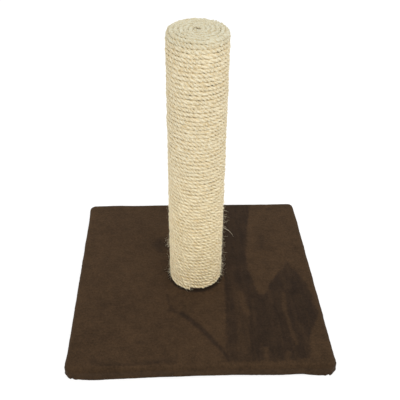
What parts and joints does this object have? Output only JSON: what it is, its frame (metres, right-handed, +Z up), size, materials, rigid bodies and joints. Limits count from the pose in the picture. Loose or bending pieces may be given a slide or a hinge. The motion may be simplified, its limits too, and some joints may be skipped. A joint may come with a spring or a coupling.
{
  "type": "cat scratching post",
  "caption": "Free-standing cat scratching post: a square plush-covered base board with one upright post wound in sisal rope, its top closed by a flat rope spiral.",
  "frame": {"origin": "middle of the base's underside, on the surface that it stands on", "axes": "+Z up along the post; +X to the right and +Y to the back as the picture looks at it"},
  "size_m": [0.4, 0.4, 0.4562],
  "materials": {
    "sisal": "coarse twisted natural fibre, matt",
    "plush": "short dark brown pile, matt with nap",
    "chipboard": "raw chipboard",
    "plug_wood": "raw pine",
    "tube_board": "spiral-wound cardboard",
    "zinc_steel": "zinc plated",
    "galvanised_wire": "galvanised"
  },
  "bodies": {
    "root": {"base_board": "chipboard", "base_cover": "plush", "bolt_washer": "zinc_steel", "cover_staples": "galvanised_wire", "fixing_bolt": "zinc_steel", "lower_plug": "plug_wood", "lower_plug_tacks": "galvanised_wire", "post_tube": "tube_board", "rope_top_spiral": "sisal", "rope_winding_1": "sisal", "rope_winding_2": "sisal", "rope_winding_3": "sisal", "tee_nut": "zinc_steel", "upper_plug": "plug_wood", "upper_plug_tacks": "galvanised_wire"}
  },
  "joints": []
}
